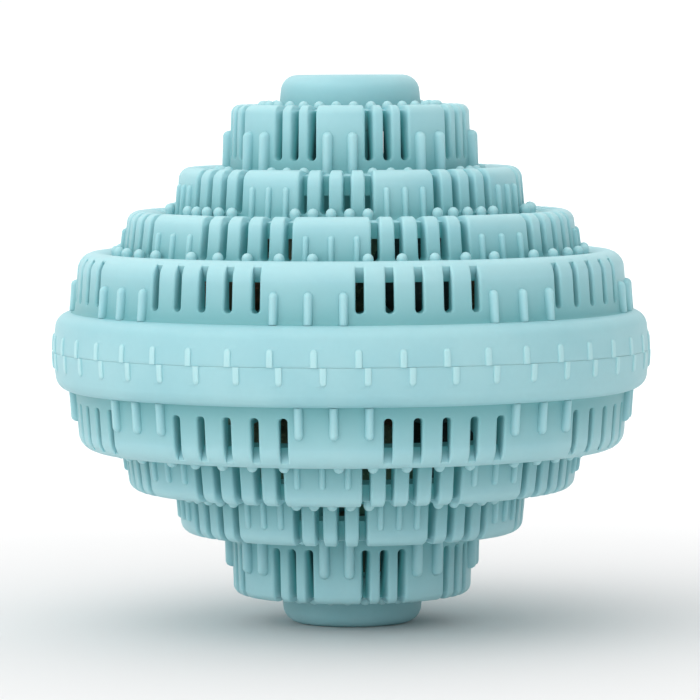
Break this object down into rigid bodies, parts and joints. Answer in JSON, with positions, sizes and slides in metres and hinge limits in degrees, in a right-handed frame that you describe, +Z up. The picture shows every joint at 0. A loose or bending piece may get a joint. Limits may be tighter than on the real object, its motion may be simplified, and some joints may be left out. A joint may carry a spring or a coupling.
{
  "type": "laundry ball",
  "caption": "Round stepped washing ball of two like slotted soft half shells on a coupling ring, holding a loose charge of ceramic beads.",
  "frame": {"origin": "centre of the ball, on the parting plane between the two halves", "axes": "+Z up through the poles' caps, -Y towards the pictured front, +X to its right"},
  "size_m": [0.1, 0.1, 0.0918],
  "materials": {
    "shell": "matte light teal, soft thermoplastic rubber",
    "ring": "matte pale grey",
    "brown_ceramic": "matte unglazed brown",
    "olive_ceramic": "matte unglazed olive grey",
    "black_ceramic": "matte unglazed dark grey",
    "rust_ceramic": "matte unglazed rust red"
  },
  "bodies": {
    "lower_half": {"lower_shell": "shell"},
    "coupling": {"coupling_ring": "ring"},
    "upper_half": {"upper_shell": "shell"},
    "bead_charge": {"brown_bead_01": "brown_ceramic", "brown_bead_02": "brown_ceramic", "brown_bead_03": "brown_ceramic", "brown_bead_04": "brown_ceramic", "brown_bead_05": "brown_ceramic", "brown_bead_06": "brown_ceramic", "brown_bead_07": "brown_ceramic", "brown_bead_08": "brown_ceramic", "brown_bead_09": "brown_ceramic", "olive_bead_01": "olive_ceramic", "olive_bead_02": "olive_ceramic", "olive_bead_03": "olive_ceramic", "olive_bead_04": "olive_ceramic", "olive_bead_05": "olive_ceramic", "olive_bead_06": "olive_ceramic", "olive_bead_07": "olive_ceramic", "olive_bead_08": "olive_ceramic", "olive_bead_09": "olive_ceramic", "black_bead_01": "black_ceramic", "black_bead_02": "black_ceramic", "black_bead_03": "black_ceramic", "black_bead_04": "black_ceramic", "black_bead_05": "black_ceramic", "black_bead_06": "black_ceramic", "black_bead_07": "black_ceramic", "black_bead_08": "black_ceramic", "rust_bead_01": "rust_ceramic", "rust_bead_02": "rust_ceramic", "rust_bead_03": "rust_ceramic", "rust_bead_04": "rust_ceramic", "rust_bead_05": "rust_ceramic", "rust_bead_06": "rust_ceramic", "rust_bead_07": "rust_ceramic", "rust_bead_08": "rust_ceramic"}
  },
  "joints": [
    {"name": "twist", "type": "hinge", "parent": "lower_half", "child": "coupling", "pos_m": [0, 0, 0], "axis": [0, 0, 1], "continuous": true},
    {"name": "lift_off", "type": "slide", "parent": "coupling", "child": "upper_half", "axis": [0, 0, 1], "range_m": [0, 0.05]},
    {"name": "bead_roll", "type": "hinge", "parent": "lower_half", "child": "bead_charge", "pos_m": [0, 0, 0], "axis": [0, 0, 1], "continuous": true}
  ]
}
